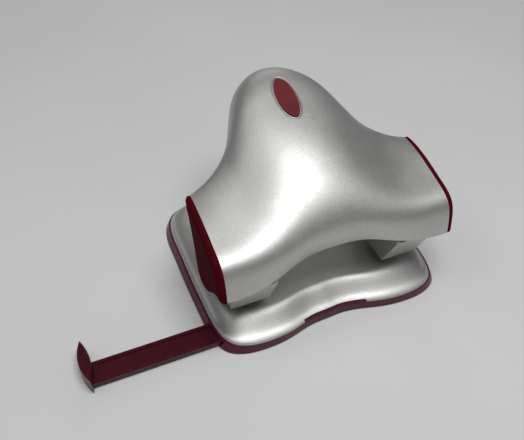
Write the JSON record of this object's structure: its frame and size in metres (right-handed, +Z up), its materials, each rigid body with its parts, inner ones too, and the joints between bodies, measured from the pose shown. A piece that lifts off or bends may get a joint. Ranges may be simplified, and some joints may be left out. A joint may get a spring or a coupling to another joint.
{
  "type": "hole punch",
  "caption": "Desk hole punch with a wide bell-shaped lever handle, a wavy domed base, a swing-down chip tray and a pull-out paper guide.",
  "frame": {"origin": "centre of the base's footprint on the table, in the plane of the tray's flat underside", "axes": "+Z up; -Y is the side the paper enters from; X runs along the handle, with the pull-out paper guide on -X"},
  "size_m": [0.1833, 0.1041, 0.0906],
  "materials": {
    "silver_paint": "satin silver metallic paint",
    "steel": "bright zinc-plated steel",
    "burgundy_gloss": "dark glossy moulded plastic",
    "red_inlay": "satin moulded plastic",
    "plum_plastic": "semi-gloss moulded plastic",
    "burgundy_rail": "semi-gloss moulded plastic"
  },
  "bodies": {
    "base": {"base_plate": "silver_paint", "left_bracket": "silver_paint", "right_bracket": "silver_paint", "bracket_rivets": "steel", "left_die": "steel", "right_die": "steel", "left_return_spring": "steel", "right_return_spring": "steel", "left_pivot_pin": "steel", "right_pivot_pin": "steel", "left_pivot_clip": "steel", "right_pivot_clip": "steel", "tray_hinge_pins": "steel", "guide_bezel": "plum_plastic", "guide_straps": "steel", "detent_spring": "steel"},
    "handle": {"handle_shell": "silver_paint", "lever_frame": "steel", "left_end_cap": "burgundy_gloss", "right_end_cap": "burgundy_gloss", "oval_inlay": "red_inlay", "handle_screws": "steel"},
    "left_punch": {"left_punch_pin": "steel", "left_retainer_clip": "steel"},
    "right_punch": {"right_punch_pin": "steel", "right_retainer_clip": "steel"},
    "tray": {"chip_tray": "plum_plastic"},
    "guide": {"paper_guide": "burgundy_rail", "guide_stop": "burgundy_rail"}
  },
  "joints": [
    {"name": "handle_hinge", "type": "hinge", "parent": "base", "child": "handle", "pos_m": [0, -0.034, 0.042], "axis": [1, 0, 0], "range_deg": [-25, 0], "stiffness_Nm_per_rad": 0.5, "springref_deg": 20.05},
    {"name": "left_punch_slide", "type": "slide", "parent": "base", "child": "left_punch", "axis": [0, 0, 1], "range_m": [-0.0073, 0], "deforming": ["left_return_spring"]},
    {"name": "right_punch_slide", "type": "slide", "parent": "base", "child": "right_punch", "axis": [0, 0, 1], "range_m": [-0.0073, 0], "deforming": ["right_return_spring"]},
    {"name": "tray_hinge", "type": "hinge", "parent": "base", "child": "tray", "pos_m": [0, 0.052, 0.0076], "axis": [1, 0, 0], "range_deg": [0, 60]},
    {"name": "guide_slide", "type": "slide", "parent": "base", "child": "guide", "axis": [-1, 0, 0], "range_m": [-0.054, 0.02]}
  ],
  "couplings": [
    {"joint": "left_punch_slide", "follows": "handle_hinge", "m_per_rad": 0.0162},
    {"joint": "right_punch_slide", "follows": "handle_hinge", "m_per_rad": 0.0162}
  ]
}
